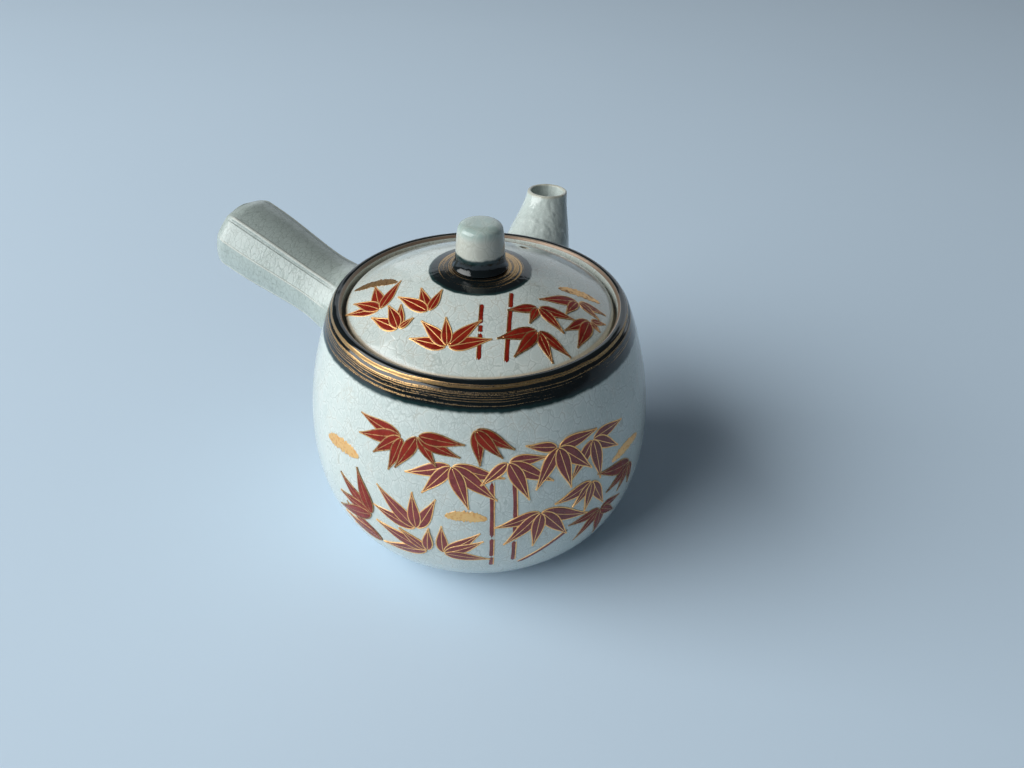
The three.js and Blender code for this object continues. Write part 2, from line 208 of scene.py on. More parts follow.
def skin(name, rings, loop=False, turns=None):
    """A closed surface over rings of points, rings[..., i, j] being step j round ring i. Each ring joins the next,
    and then the last joins the first if loop is set, or else a fan closes each end at the ring's middle. Several
    pieces of the same make come as one array. turns, from 0 to 1 round the ring, gives the piece a UV map of turn
    and length."""
    batch = rings.reshape((-1,) + rings.shape[-3:])
    pieces, count, around, _ = batch.shape
    i, j = np.meshgrid(np.arange(count if loop else count - 1), np.arange(around), indexing="ij")
    k, n = (j + 1) % around, (i + 1) % count
    quads = np.stack([i * around + j, i * around + k, n * around + k, n * around + j], -1).reshape(-1, 4)
    points = batch.reshape(pieces, -1, 3)
    fans = np.empty((0, 3), int)
    if not loop:
        points = np.concatenate([points, batch[:, :1].mean(2), batch[:, -1:].mean(2)], 1)
        here = np.arange(around)
        after = (here + 1) % around
        end = (count - 1) * around
        fans = np.concatenate([np.stack([0 * here + count * around, after, here], -1),
                               np.stack([0 * here + count * around + 1, end + here, end + after], -1)])
    shift = (np.arange(pieces) * points.shape[1])[:, None, None]
    made = bpy.data.meshes.new(name)
    made.from_pydata(((points.reshape(-1, 3) + AXIS) * MM).tolist(), [],
                     (quads + shift).reshape(-1, 4).tolist() + (fans + shift).reshape(-1, 3).tolist())
    if turns is not None:
        sides = np.linalg.norm(np.diff(batch[0].mean(1), axis=0), axis=1)
        lengths = np.concatenate([[0], np.cumsum(sides)])
        lengths = np.append(lengths, lengths[-1]) * MM
        u = np.stack([turns[j], turns[j + 1], turns[j + 1], turns[j]], -1)
        v = np.stack([lengths[i], lengths[i], lengths[i + 1], lengths[i + 1]], -1)
        uv = np.zeros((len(made.loops), 2))
        uv[:u.size] = np.stack([u, v], -1).reshape(-1, 2)
        made.uv_layers.new(name="turn_and_length").data.foreach_set("uv", uv.ravel())
    made.shade_smooth()
    piece = bpy.data.objects.new(name, made)
    bpy.context.scene.collection.objects.link(piece)
    return piece


def cut_through(piece, tool):
    """Takes the tool's solid out of the piece for good, and removes the tool."""
    bite = piece.modifiers.new("cut", "BOOLEAN")
    bite.operation = "DIFFERENCE"
    bite.solver = "EXACT"
    bite.object = tool
    bpy.context.view_layer.update()
    whole = piece.data
    piece.data = bpy.data.meshes.new_from_object(piece.evaluated_get(bpy.context.evaluated_depsgraph_get()))
    piece.modifiers.clear()
    bpy.data.meshes.remove(whole)
    bpy.data.objects.remove(tool)


quarter = np.linspace(0, np.pi / 2, 44)[1:]
lower_wall = np.stack([FOOT_R + (BODY_R - FOOT_R) * np.sin(quarter) ** (2 / BELLY_POWER),
                       BELLY_Z - (BELLY_Z - FOOT_H) * np.cos(quarter) ** (2 / BELLY_POWER)], -1)
upper_z = np.linspace(BELLY_Z, POT_H - 2.2, 60)[1:]
upper_wall = np.stack([body_radius(upper_z), upper_z], -1)
foot = eased([(0.2, RECESS), (12, RECESS), (FOOT_R - FOOT_W - 1.6, RECESS),
              (FOOT_R - FOOT_W - 0.2, RECESS - 1.0), (FOOT_R - FOOT_W + 0.3, 0.0), (FOOT_R - 0.5, 0.0),
              (FOOT_R, 0.7), (FOOT_R, FOOT_H)], 0.5)
lip = eased([upper_wall[-1], (LIP_R + 0.25, POT_H - 1.5), (LIP_R, POT_H - 0.7), (LIP_R - 0.6, POT_H - 0.12),
             (LIP_R - 1.3, POT_H), (LIP_R - 2.2, POT_H - 0.22), (SEAT_R, POT_H - 1.1), (SEAT_R, LEDGE_Z),
             (THROAT_R + 0.4, LEDGE_Z), (THROAT_R, LEDGE_Z - 0.4), (THROAT_R, LEDGE_Z - LEDGE_T)], 0.45)
inside_top, inside_floor = LEDGE_Z - LEDGE_T - 4.5, RECESS + WALL
inside_z = np.linspace(inside_top, inside_floor + 4.5, 40)
last_r = float(body_radius(inside_floor + 4.5)) - WALL
inside_wall = np.stack([body_radius(inside_z) - WALL, inside_z], -1)
inside_turn = eased([(last_r, inside_floor + 4.5), (last_r - 2.6, inside_floor + 2.0),
                     (last_r - 7.5, inside_floor + 0.4), (last_r - 13, inside_floor), (0.2, inside_floor)], 3.0)
inside = np.vstack([inside_wall, inside_turn[1:]])
body = skin("glazed_body", turned(np.vstack([foot, lower_wall, upper_wall[:-1], lip, inside]), 224))


def new_group(name, inputs, outputs):
    """An empty node group with named number, vector or colour sockets, and its two end nodes."""
    group = bpy.data.node_groups.new(name, "ShaderNodeTree")
    for way, sockets in (("INPUT", inputs), ("OUTPUT", outputs)):
        for socket, kind in sockets:
            group.interface.new_socket(name=socket, in_out=way, socket_type="NodeSocket" + kind)
    return group, add_node(group, "NodeGroupInput"), add_node(group, "NodeGroupOutput")


def ramp(value, low, high, start=0.0, end=1.0):
    """A soft step: start where value is below low, end where it is above high."""
    return follow("ShaderNodeMapRange", {
        "Value": value, "From Min": low, "From Max": high, "To Min": start, "To Max": end},
        interpolation_type="SMOOTHSTEP")["Result"]


def maths(operation, a, b=0.0):
    """One number worked out from two, by Blender's Math node."""
    return follow("ShaderNodeMath", {0: a, 1: b}, operation=operation)[0]


def plus(a, b):
    """a + b."""
    return maths("ADD", a, b)


def minus(a, b):
    """a - b."""
    return maths("SUBTRACT", a, b)


def times(a, b):
    """a·b."""
    return maths("MULTIPLY", a, b)


def vectors(operation, a, b=(0, 0, 0)):
    """A vector worked out from two, by Blender's Vector Math node, or a number if the operation gives one."""
    made = follow("ShaderNodeVectorMath", {0: a, 1: b}, operation=operation)
    return made["Value" if operation in ("LENGTH", "DISTANCE", "DOT_PRODUCT") else "Vector"]


def in_mm(tree, stretch=(1, 1, 1)):
    """Place on the pot in millimetres from the wheel's axis, each direction multiplied by its stretch."""
    place = add_node(tree, "ShaderNodeTexCoord").outputs["Object"]
    start = [-float(AXIS[n]) * stretch[n] for n in range(3)]
    return follow("ShaderNodeMapping", {
        "Vector": place, "Scale": [1000 * s for s in stretch], "Location": start})["Vector"]


def on_wheel(tree):
    """Place on the pot in mm, its X, Y and Z, the place seen from above, and its distance from the wheel's axis."""
    place = in_mm(tree)
    parts = follow("ShaderNodeSeparateXYZ", {"Vector": place})
    flat = vectors("MULTIPLY", place, (1, 1, 0))
    return place, parts, flat, vectors("LENGTH", flat)


# Crackle: long cracks first, fine cracks between them later, both stained, and the glaze's slow clouding.
crackle, given, result = new_group("crackle", [("Vector", "Vector")], [
    ("Line", "Float"), ("Halo", "Float"), ("Cloud", "Float"), ("Height", "Float")])
where = given.outputs["Vector"]
sway = follow("ShaderNodeTexNoise", {"Vector": where, "Scale": 0.22, "Detail": 2.0})["Color"]
pushed = vectors("MULTIPLY", vectors("SUBTRACT", sway, (0.5, 0.5, 0.5)), (3.4, 3.4, 3.4))
bent = vectors("ADD", where, pushed)
to_long, to_fine = [follow("ShaderNodeTexVoronoi", {"Vector": bent, "Scale": scale},
                           feature="DISTANCE_TO_EDGE")["Distance"] for scale in (0.24, 0.68)]
long_cracks = ramp(to_long, 0.0, 0.055, 1.0, 0.0)
fine_cracks = ramp(to_fine, 0.0, 0.11, 1.0, 0.0)
shown = ramp(noise(where, 0.09, 2.0), 0.38, 0.6, 0.2, 0.75)  # the fine ones come in patches
line = maths("MAXIMUM", long_cracks, times(fine_cracks, shown))
halo = maths("MAXIMUM", minus(ramp(to_long, 0.05, 0.22, 1.0, 0.0), line), 0.0)
height = minus(ramp(to_long, 0.0, 0.18), times(line, 0.8))
set_inputs(result, {"Line": line, "Halo": halo, "Cloud": noise(where, 0.11, 4.0, 0.6), "Height": height})

# Gold laid on the turning pot with a dry brush: fine streaks along the turn, broken where the brush ran dry.
brushed, given, result = new_group("brushed_gold", [
    ("Vector", "Vector"), ("Across", "Float"), ("Load", "Float")], [("Gold", "Float")])
where, across, load = given.outputs[:3]
parts = follow("ShaderNodeSeparateXYZ", {"Vector": where})
along_turn = follow("ShaderNodeCombineXYZ", {
    "X": times(parts["X"], 0.03), "Y": times(parts["Y"], 0.03), "Z": times(across, 4.6)})[0]
streaks = noise(along_turn, 1.0, 4.0, 0.65)
specks = noise(where, 2.6, 2.0)
set_inputs(result, {"Gold": ramp(plus(plus(streaks, times(specks, 0.34)), load), 1.03, 1.11)})


def bump(height, strength, depth_mm):
    """The normal of a surface that a height of 0 to 1 raises by up to depth_mm."""
    return follow("ShaderNodeBump", {
        "Height": height, "Strength": strength, "Distance": depth_mm * MM})["Normal"]


def wavering(value, drift, amount):
    """A value moved up and down by half of amount at most, as drift goes from 0 to 1."""
    return plus(value, times(minus(drift, 0.5), amount))


def striped(value, stripes):
    """How much gold the brush left at a value, between stops of (value, load)."""
    low, span = stripes[0][0], stripes[-1][0] - stripes[0][0]
    share = follow("ShaderNodeMapRange", {"Value": value, "From Min": low, "From Max": low + span})["Result"]
    load = add_node(value.id_data, "ShaderNodeValToRGB", {"Fac": share})
    stops = load.color_ramp.elements
    while len(stops) < len(stripes):
        stops.new(0.5)
    for stop, (at, loaded) in zip(stops, stripes):
        stop.position = (at - low) / span
        stop.color = (loaded, loaded, loaded, 1)
    return load.outputs["Color"]


CELADON = (0.530, 0.605, 0.580, 1)
CELADON_THIN = (0.600, 0.655, 0.625, 1)
HALO = (0.700, 0.745, 0.715, 1)
STAIN = (0.230, 0.275, 0.250, 1)
TEA_STAIN = (0.330, 0.265, 0.170, 1)
CLAY = (0.400, 0.330, 0.240, 1)
IRON_BLACK = (0.004, 0.007, 0.008, 1)
IRON_TEAL = (0.010, 0.034, 0.034, 1)
GOLD = (0.470, 0.290, 0.125, 1)


def crackled(cracks, thick, thin, halo, line, stain):
    """The glaze over its crackle: clouded from thick to thin, paler beside the cracks, and stained along them."""
    glaze = blended(cracks["Cloud"], thick, thin)
    glaze = blended(times(cracks["Halo"], halo), glaze, HALO)
    return blended(times(cracks["Line"], line), glaze, stain)


BAND_FOOT = 69.5  # lower edge of the rim's band
body_glaze, tree, shader = new_material("body_glaze")
place, parts, flat, radius = on_wheel(tree)
cracks = follow("ShaderNodeGroup", {"Vector": in_mm(tree, (1.5, 1.5, 0.95))}, node_tree=crackle)
stain = blended(ramp(cracks["Cloud"], 0.50, 0.60), STAIN, TEA_STAIN)
glaze = crackled(cracks, CELADON, CELADON_THIN, 0.55, 0.32, stain)
foot_ring = ramp(parts["Z"], 0.7, 1.1, 1.0, 0.0)
ledge = times(ramp(parts["Z"], LEDGE_Z - 0.5, LEDGE_Z - 0.3),
              ramp(parts["Z"], LEDGE_Z + 0.4, LEDGE_Z + 0.6, 1.0, 0.0))
ledge = times(ramp(radius, SEAT_R - 0.3, SEAT_R - 0.1, 1.0, 0.0), ledge)
wiped = maths("MAXIMUM", foot_ring, ledge)  # no glaze where the pot stands and where the lid sits
glaze = blended(wiped, glaze, CLAY)

height = wavering(parts["Z"], noise(flat, 0.05, 3.0), 1.3)
ragged = wavering(height, noise(place, 0.5, 3.0), 0.8)
outside = ramp(radius, SEAT_R + 0.6, SEAT_R + 0.9)
band = times(ramp(ragged, BAND_FOOT - 0.5, BAND_FOOT + 0.5), outside)
dark = blended(ramp(ragged, BAND_FOOT, BAND_FOOT + 1.8), IRON_TEAL, IRON_BLACK)
BAND_STRIPES = [  # height in mm, how much gold the brush left
    (69.0, 0.05), (70.5, 0.08), (71.1, 0.30), (71.5, 0.34), (71.8, 0.18), (72.2, 0.20), (72.45, 0.40),
    (72.7, 0.16), (73.0, 0.42), (73.25, 0.14), (73.55, 0.42), (73.8, 0.16), (74.0, 0.36), (74.6, 0.45),
    (74.85, 0.08), (75.2, 0.10), (75.4, 0.49), (76.25, 0.49), (76.45, 0.05), (77.0, 0.0)]
lit_left_gold = times(parts["X"], -0.0017)  # more gold towards the left of the band, where the window lights it: a painted highlight
load = plus(striped(height, BAND_STRIPES), lit_left_gold)
streaks = follow("ShaderNodeGroup", {"Vector": place, "Across": height, "Load": load}, node_tree=brushed)["Gold"]
outer_gold = times(streaks, band)
inner_ring = times(ramp(radius, SEAT_R + 0.65, SEAT_R + 0.85, 1.0, 0.0),
                   ramp(parts["Z"], POT_H - 1.15, POT_H - 0.9))
gold = maths("MAXIMUM", outer_gold, times(inner_ring, 0.4))
colour = blended(band, glaze, dark)
colour = blended(inner_ring, colour, (0.25, 0.175, 0.125, 1))
colour = blended(outer_gold, colour, GOLD)
worn = plus(times(outer_gold, 0.24), times(inner_ring, 0.34))
worn = plus(worn, times(wiped, 0.65))
bare = ramp(band, 0.0, 1.0, 0.045, 0.0)
relief = plus(times(cracks["Height"], bare), noise(place, 0.12, 1.0))
set_inputs(shader, {"Base Color": colour, "Metallic": gold, "Roughness": plus(worn, 0.09),
                    "Normal": bump(plus(relief, times(gold, 0.10)), 0.6, 0.35)})
body.data.materials.append(body_glaze)
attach(body, "pot")
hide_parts("pot_body")


# ---------------------------------------------------------------- Spout
# A short thrown spout, cut on the slant and luted to the shoulder over a hole in the wall. It curves from
# the wall's slope to nearly upright, narrow at the mouth, under the same crackled glaze.

SPOUT_TURN = math.radians(73)
SPOUT_ROOT = np.array([BODY_R - 10.5, POT_H - 24.9])  # start of its axis, in its upright plane
SPOUT_MOUTH = np.array([BODY_R + 18.1, POT_H + 4.5])
SPOUT_ROOT_SLOPE = math.tan(math.radians(28))
SPOUT_MOUTH_SLOPE = math.tan(math.radians(68))
SPOUT_MOUTH_R = 6.9
SPOUT_ROOT_R = 12.6
SPOUT_BORE_R = 5.7
PIERCE_R = 8.8  # hole in the wall
SPOUT_LEAN = math.tan(math.radians(18))
LUTE = 2.4  # radius of the smoothed clay where a limb joins the wall
LIMB_DEPTH = 1.2  # how far a limb's root sits in the wall
FULLNESS = 0.45  # how much fuller the upper half is than a plain spread

bend_x = (SPOUT_MOUTH[1] - SPOUT_ROOT[1] - SPOUT_MOUTH_SLOPE * SPOUT_MOUTH[0]
          + SPOUT_ROOT_SLOPE * SPOUT_ROOT[0]) / (SPOUT_ROOT_SLOPE - SPOUT_MOUTH_SLOPE)
SPOUT_BEND = np.array([bend_x, SPOUT_ROOT[1] + SPOUT_ROOT_SLOPE * (bend_x - SPOUT_ROOT[0])])


def soft_step(t):
    """0 to 1 with level ends: 3t² - 2t³."""
    t = np.clip(t, 0, 1)
    return t * t * (3 - 2 * t)


def spout_point(t, angle, radius, lift=0.0):
    """Point of the spout: middle on the curve (1-t)²·root + 2t(1-t)·bend + t²·mouth, turned by angle at radius
    round the curve's direction, moved lift along it, and leaning over towards the mouth."""
    t, angle, radius = np.broadcast_arrays(np.asarray(t, float), angle, radius)
    s = t[..., None]
    middle = (1 - s) ** 2 * SPOUT_ROOT + 2 * s * (1 - s) * SPOUT_BEND + s ** 2 * SPOUT_MOUTH
    way = (1 - s) * (SPOUT_BEND - SPOUT_ROOT) + s * (SPOUT_MOUTH - SPOUT_BEND)
    rise = np.arctan2(way[..., 1], way[..., 0])
    height = radius * np.sin(angle)
    shift = lift - soft_step((t - 0.55) / 0.45) * SPOUT_LEAN * height
    out = middle[..., 0] + shift * np.cos(rise) - height * np.sin(rise)
    z = middle[..., 1] + shift * np.sin(rise) + height * np.cos(rise)
    side = radius * np.cos(angle)
    return np.stack([out * math.cos(SPOUT_TURN) - side * math.sin(SPOUT_TURN),
                     out * math.sin(SPOUT_TURN) + side * math.cos(SPOUT_TURN), z], -1)


def clear_of_wall(points):
    """Distance of points outside the body's outer face, measured level."""
    return np.hypot(points[..., 0], points[..., 1]) - body_radius(points[..., 2])


def root_of(point_at, low, high, depth):
    """Where each line point_at(t) lies depth inside the wall, by halving the span from low to high 40 times."""
    low, high = low + 0.0, high + 0.0
    for _ in range(40):
        middle = (low + high) / 2
        inside_it = clear_of_wall(point_at(middle)) < -depth
        low, high = np.where(inside_it, middle, low), np.where(inside_it, high, middle)
    return (low + high) / 2


def luted(points, middles):
    """Spreads a limb's surface into the wall: a point that stands d outside it moves out from the limb's middle
    by L - sqrt(L² - (L - d)²), a hollow quarter circle of radius L."""
    d = np.clip(clear_of_wall(points), 0, LUTE)
    away = points - middles
    away /= np.linalg.norm(away, axis=-1, keepdims=True)
    return points + away * (LUTE - np.sqrt(LUTE ** 2 - (LUTE - d) ** 2))[..., None]


def spout_radius(t):
    """Outer radius: narrow at the mouth, a little full in the upper half, and spreading fast to the root."""
    spread = (SPOUT_ROOT_R - SPOUT_MOUTH_R) * soft_step((1 - t) / 0.7)
    return SPOUT_MOUTH_R + spread + FULLNESS * np.sin(np.pi * np.clip((1 - t) / 0.5, 0, 1))


def spout_bore(t):
    """Radius of the way through."""
    return SPOUT_BORE_R + (PIERCE_R - SPOUT_BORE_R) * np.clip((1 - t) / 0.6, 0, 1)


angle = np.arange(112) * 2 * np.pi / 112
low, high = 0 * angle, 0 * angle + 0.8
outer_root = root_of(lambda t: spout_point(t, angle, spout_radius(t)), low, high, LIMB_DEPTH)
bore_root = root_of(lambda t: spout_point(t, angle, spout_bore(t)), low, high, LIMB_DEPTH)
run = np.concatenate([np.linspace(0, 0.35, 26), np.linspace(0.35, 1, 26)[1:]])[:, None]
t_out = outer_root + (0.975 - outer_root) * run
outer = spout_point(t_out, angle, spout_radius(t_out))
outer = luted(outer, spout_point(t_out, angle, 1e-6))
edge = np.linspace(0, np.pi, 9)[:, None]
lip_middle, lip_half = (SPOUT_MOUTH_R + SPOUT_BORE_R) / 2, (SPOUT_MOUTH_R - SPOUT_BORE_R) / 2
rim = spout_point(0 * angle + 0.985, angle, lip_middle + lip_half * np.cos(edge),
                  0.48 * np.sin(edge) - 0.08)
t_in = bore_root + (0.975 - bore_root) * run[::-1]
bore = spout_point(t_in, angle, spout_bore(t_in))
spout = skin("spout_tube", np.concatenate([outer, rim, bore]), loop=True)

# The hole behind the spout, cut on through the wall along the spout's first slope.
reach = np.array([-7.0, -3.5, 0.0])[:, None]
hole = np.concatenate([spout_point(0 * angle, angle, PIERCE_R, reach),
                       spout_point(0 * angle + np.array([[0.1], [0.22], [0.34]]), angle, PIERCE_R)])
cut_through(body, skin("hole_tool", hole))

spout_glaze, tree, shader = new_material("spout_glaze")
cracks = follow("ShaderNodeGroup", {"Vector": in_mm(tree, (1.7, 1.7, 0.8))}, node_tree=crackle)
glaze = crackled(cracks, (0.47, 0.54, 0.515, 1), (0.56, 0.63, 0.605, 1), 0.25, 0.20, STAIN)
rise = math.atan(SPOUT_MOUTH_SLOPE)
facing = np.array([math.cos(rise) - SPOUT_LEAN * math.sin(rise),
                   math.sin(rise) + SPOUT_LEAN * math.cos(rise)])  # square to the mouth, in the upright plane
along_spout = vectors("DOT_PRODUCT", in_mm(tree), (
    facing[0] * math.cos(SPOUT_TURN), facing[0] * math.sin(SPOUT_TURN), facing[1]))
mouth_at = float(facing @ SPOUT_MOUTH)
rim_shows = times(ramp(along_spout, mouth_at - 1.1, mouth_at - 0.4), 0.5)
glaze = blended(rim_shows, glaze, (0.40, 0.35, 0.24, 1))  # the clay shows through on the rim
pulls = noise(in_mm(tree, (0.34, 0.34, 0.022)), 1.0, 1.5)  # the potter's fingers drew the clay up
set_inputs(shader, {"Base Color": glaze, "Roughness": 0.12,
                    "Normal": bump(plus(pulls, times(cracks["Height"], 0.015)), 0.8, 0.8)})
spout.data.materials.append(spout_glaze)
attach(spout, "pot")
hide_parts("spout")


# ---------------------------------------------------------------- Handle
# A hollow thrown handle, luted on at the side, almost at right angles to the spout. Its faces are shaved flat with
# a knife. Each edge between them has a pale line painted on it, partly glaze run thin and partly a painted
# highlight. Just below it runs a dark line, partly pooled glaze and partly painted shade.

HANDLE_TURN = math.radians(152)
HANDLE_RISE = math.radians(19)
HANDLE_Z = POT_H - 16.8  # its axis where it passes the belly's radius
HANDLE_OUT = 44.5
HANDLE_R = 13.2
HANDLE_NECK_R = 11.5
HANDLE_WALL = 3.4
FACETS = np.array([15.5, 53.5, 126.5, 164.5, 205, 250, 290, 335])  # the edges' places round it, degrees
FACET_STEPS = 22
SHAVED = 0.6  # how flat the knife left the faces: 0 round, 1 quite flat

handle_along = np.array([math.cos(HANDLE_RISE) * math.cos(HANDLE_TURN),
                         math.cos(HANDLE_RISE) * math.sin(HANDLE_TURN), math.sin(HANDLE_RISE)])
handle_side = np.array([-math.sin(HANDLE_TURN), math.cos(HANDLE_TURN), 0])
handle_up = np.cross(handle_along, handle_side)
handle_start = np.array([BODY_R * math.cos(HANDLE_TURN), BODY_R * math.sin(HANDLE_TURN), HANDLE_Z])

spans = np.diff(np.append(FACETS, FACETS[0] + 360))
into = np.arange(FACET_STEPS) / FACET_STEPS
facet_deg = (FACETS[:, None] + spans[:, None] * into).ravel()
facet_turn = np.radians(facet_deg)
flat_face = np.cos(np.radians(spans / 2))[:, None] / np.cos(np.radians(spans[:, None] * (into - 0.5)))
facet_share = 1 - SHAVED + SHAVED * flat_face.ravel()


def shaved(s):
    """Share of the corner radius that the shaved faces leave: all of it at the luted root, the facets' share 8 mm
    further out."""
    return 1 - (1 - facet_share) * soft_step((np.asarray(s, float) + 3) / 8)


def handle_point(s, radius):
    """Point of the handle: s along its axis from the belly's radius, at radius round it at the facets' angles."""
    s, radius, a = np.broadcast_arrays(np.asarray(s, float), radius, facet_turn)
    return (handle_start + s[..., None] * handle_along + (radius * np.cos(a))[..., None] * handle_side
            + (radius * np.sin(a))[..., None] * handle_up)


def handle_radius(s):
    """Corner radius: a neck that swells to the open end, and flares a little at the root."""
    swell = (HANDLE_R - HANDLE_NECK_R) * soft_step((s - 6) / 30)
    return HANDLE_NECK_R + swell + 1.2 * np.clip((10 - s) / 12, 0, 1) ** 2


def handle_bore(s):
    """Radius of the inside: a wall's thickness in from the corners, and a little more for the flats."""
    return (handle_radius(np.maximum(s, 7)) - HANDLE_WALL) * 0.93


low, high = 0 * facet_turn - 16.0, 0 * facet_turn + 20.0
outer_root = root_of(lambda s: handle_point(s, handle_radius(s) * shaved(s)), low, high, LIMB_DEPTH)
bore_root = root_of(lambda s: handle_point(s, handle_bore(s)), low, high, LIMB_DEPTH)
run = np.concatenate([np.linspace(0, 0.3, 26), np.linspace(0.3, 1, 30)[1:]])[:, None]
end_s = HANDLE_OUT - 5.0
s_out = outer_root + (end_s - outer_root) * run
outer = luted(handle_point(s_out, handle_radius(s_out) * shaved(s_out)), handle_point(s_out, 1e-6))
turn_in = np.linspace(0, np.pi / 2, 12)[1:, None]
wide = float(handle_radius(end_s))
narrowed = wide * (1 - 0.27 * (1 - np.cos(turn_in)) ** 0.72)
tip = handle_point(end_s + 4.96 * np.sin(turn_in),
                   narrowed * (facet_share + (1 - facet_share) * 0.25 * np.sin(turn_in)))
bore_r = wide - HANDLE_WALL
rim = handle_point(HANDLE_OUT - np.array([[0.25], [0.8], [1.8]]), bore_r * np.array([[1.0], [0.96], [0.94]]))
s_in = bore_root + (HANDLE_OUT - 4.0 - bore_root) * run[::-1]
bore = handle_point(s_in, np.minimum(bore_r * 0.93, handle_bore(s_in)))
turns = np.append(facet_deg, facet_deg[0] + 360) / 360
handle = skin("handle_tube", np.concatenate([outer, tip, rim, bore]), loop=True, turns=turns)

handle_glaze, tree, shader = new_material("handle_glaze")
place = add_node(tree, "ShaderNodeTexCoord").outputs["Object"]
local = follow("ShaderNodeMapping", {
    "Vector": place, "Scale": (1000, 1000, 1000), "Rotation": (0, 0, -HANDLE_TURN)})["Vector"]
ladder = vectors("MULTIPLY", local, (3.0, 1.3, 1.3))  # most cracks run across it
cracks = follow("ShaderNodeGroup", {"Vector": ladder}, node_tree=crackle)
wrap = add_node(tree, "ShaderNodeUVMap", uv_map="turn_and_length")
wrapped = follow("ShaderNodeSeparateXYZ", {"Vector": wrap.outputs["UV"]})
turn = times(wrapped["X"], 360.0)
tube_end = float(end_s - outer_root.mean()) * MM
on_faces = times(ramp(wrapped["Y"], 0.002, 0.011),
                 ramp(wrapped["Y"], tube_end, tube_end + 0.004, 1.0, 0.0))
glaze = crackled(cracks, (0.385, 0.450, 0.425, 1), (0.475, 0.540, 0.515, 1), 0.0, 0.55,
                 (0.19, 0.23, 0.205, 1))
# Pale line on each edge: glaze run thin, and a painted highlight. Dark line just below it: pooled glaze, and
# painted shade.
pooled_glaze_and_shade = thin = 0.0
for edge_deg in FACETS:
    on_edge = maths("ABSOLUTE", minus(turn, float(edge_deg)))
    below = maths("ABSOLUTE", minus(turn, float(edge_deg) - 5.0))
    thin = maths("MAXIMUM", ramp(on_edge, 0.8, 3.2, 1.0, 0.0), thin)
    pooled_glaze_and_shade = maths("MAXIMUM", ramp(below, 0.8, 2.6, 1.0, 0.0), pooled_glaze_and_shade)
thin, pooled_glaze_and_shade = times(thin, on_faces), times(pooled_glaze_and_shade, on_faces)
glaze = blended(times(pooled_glaze_and_shade, 0.45), glaze, (0.24, 0.29, 0.27, 1))
glaze = blended(times(thin, 0.55), glaze, (0.72, 0.73, 0.66, 1))
relief = plus(times(cracks["Height"], 0.08), minus(thin, pooled_glaze_and_shade))
set_inputs(shader, {"Base Color": glaze, "Roughness": 0.12, "Normal": bump(relief, 0.8, 0.25)})
handle.data.materials.append(handle_glaze)
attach(handle, "pot")
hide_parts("handle")


# ---------------------------------------------------------------- Strainer
# A small pierced dome of the same clay, pressed over the hole behind the spout from inside, thinly glazed.

strainer_clay, tree, shader = new_material("strainer_clay")
cloud = noise(in_mm(tree), 0.35, 5.0)
set_inputs(shader, {"Base Color": blended(cloud, (0.50, 0.52, 0.47, 1), (0.66, 0.67, 0.61, 1)),
                    "Roughness": ramp(cloud, 0.3, 0.7, 0.28, 0.5), "Normal": bump(cloud, 0.5, 0.3)})
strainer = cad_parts["tea_strainer"]
strainer.data.materials.clear()
strainer.data.materials.append(strainer_clay)


# ---------------------------------------------------------------- Lid
# A thrown dome that drops inside the lip onto the ledge, with a collar below that keeps it in place and a vent
# hole towards the spout. Crackled glaze like the body's, and a black disc with gold rings under the knob.

LID_R = 39.0
LID_EDGE_Z = 75.2
DOME_RISE = 12.1
LID_T = 3.2
COLLAR_R = 34.8
COLLAR_T = 2.8
COLLAR_H = 6.4
SEAM = 0.3
VENT_R = 1.45
VENT_AT = 22.8
VENT_TURN = math.radians(56.7)
DISC_R = 14.75


def lid_height(r):
    """Height of the lid's upper face: edge + rise·(1 - (r/R)²)."""
    return LID_EDGE_Z + DOME_RISE * (1 - (np.asarray(r, float) / LID_R) ** 2)


crown = float(lid_height(0))
collar_in, collar_foot, edge_foot = COLLAR_R - COLLAR_T, LEDGE_Z - COLLAR_H, LEDGE_Z + SEAM
under_r = np.linspace(0.2, collar_in - 1.4, 30)
under = np.stack([under_r, lid_height(under_r) - LID_T], -1)
rim_side = eased([under[-1], (collar_in, float(lid_height(collar_in)) - LID_T - 1.6),
                  (collar_in, collar_foot + 0.7), (collar_in + 0.7, collar_foot), (COLLAR_R - 0.8, collar_foot),
                  (COLLAR_R, collar_foot + 0.8), (COLLAR_R, edge_foot), (LID_R - 0.6, edge_foot),
                  (LID_R, edge_foot + 0.6), (LID_R, LID_EDGE_Z - 0.9), (LID_R - 0.3, LID_EDGE_Z - 0.1),
                  (LID_R - 1.1, float(lid_height(LID_R - 1.1)))], 0.5)
dome_r = np.linspace(LID_R - 1.1, 0.2, 64)
dome = np.stack([dome_r, lid_height(dome_r)], -1)
lid = skin("glazed_lid", turned(np.vstack([under[:-1], rim_side[:-1], dome]), 208))
vent_xy = VENT_AT * np.array([math.cos(VENT_TURN), math.sin(VENT_TURN)])
vent = turned(np.array([(VENT_R, -8.0), (VENT_R, 0.0), (VENT_R, 8.0)]), 32) + (*vent_xy, float(lid_height(VENT_AT)))
cut_through(lid, skin("vent_tool", vent))

lid_glaze, tree, shader = new_material("lid_glaze")
place, parts, flat, radius = on_wheel(tree)
cracks = follow("ShaderNodeGroup", {"Vector": in_mm(tree, (1.45, 1.2, 1.2))}, node_tree=crackle)
stain = blended(ramp(cracks["Cloud"], 0.47, 0.56), STAIN, TEA_STAIN)
glaze = crackled(cracks, CELADON, CELADON_THIN, 0.55, 0.36, stain)
wiped = times(ramp(parts["Z"], edge_foot + 0.2, edge_foot + 0.5, 1.0, 0.0),
              ramp(radius, COLLAR_R - 0.1, COLLAR_R + 0.1))  # no glaze where it sits
glaze = blended(wiped, glaze, CLAY)
from_vent = vectors("DISTANCE", flat, (*vent_xy, 0))
